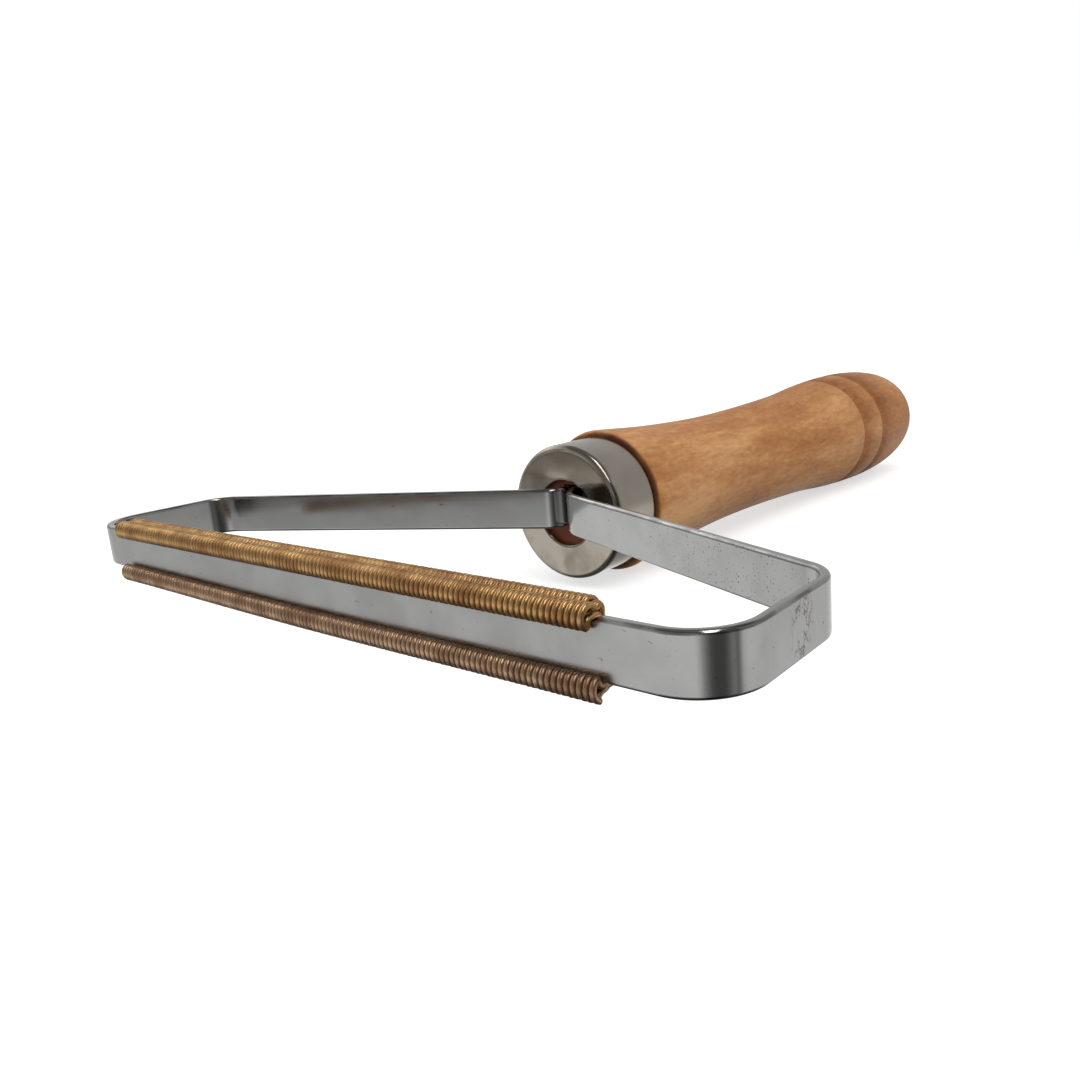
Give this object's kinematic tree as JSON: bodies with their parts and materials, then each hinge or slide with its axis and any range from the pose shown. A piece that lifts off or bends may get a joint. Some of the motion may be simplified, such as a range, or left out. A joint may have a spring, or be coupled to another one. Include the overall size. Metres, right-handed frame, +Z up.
{
  "type": "pet hair lint remover",
  "caption": "Hand scraper for pet hair: a bent steel strip band on a turned wooden handle, with a fine copper wire coil along each edge of its flat front.",
  "frame": {"origin": "bottom centre of the bounding box, straight below the handle's axis at the height of the handle's lowest line", "axes": "+X along the band's flat front, +Y from the front to the handle's end, +Z up across the strip's width"},
  "size_m": [0.1266, 0.1854, 0.0262],
  "materials": {
    "wood": "lacquered, light orange-brown",
    "nickel": "plated, warm grey, satin",
    "steel": "satin grey strip",
    "copper": "bright copper-coloured wire"
  },
  "bodies": {
    "root": {"handle": "wood", "ferrule": "nickel", "band": "steel", "upper_coil": "copper", "lower_coil": "copper"}
  },
  "joints": []
}
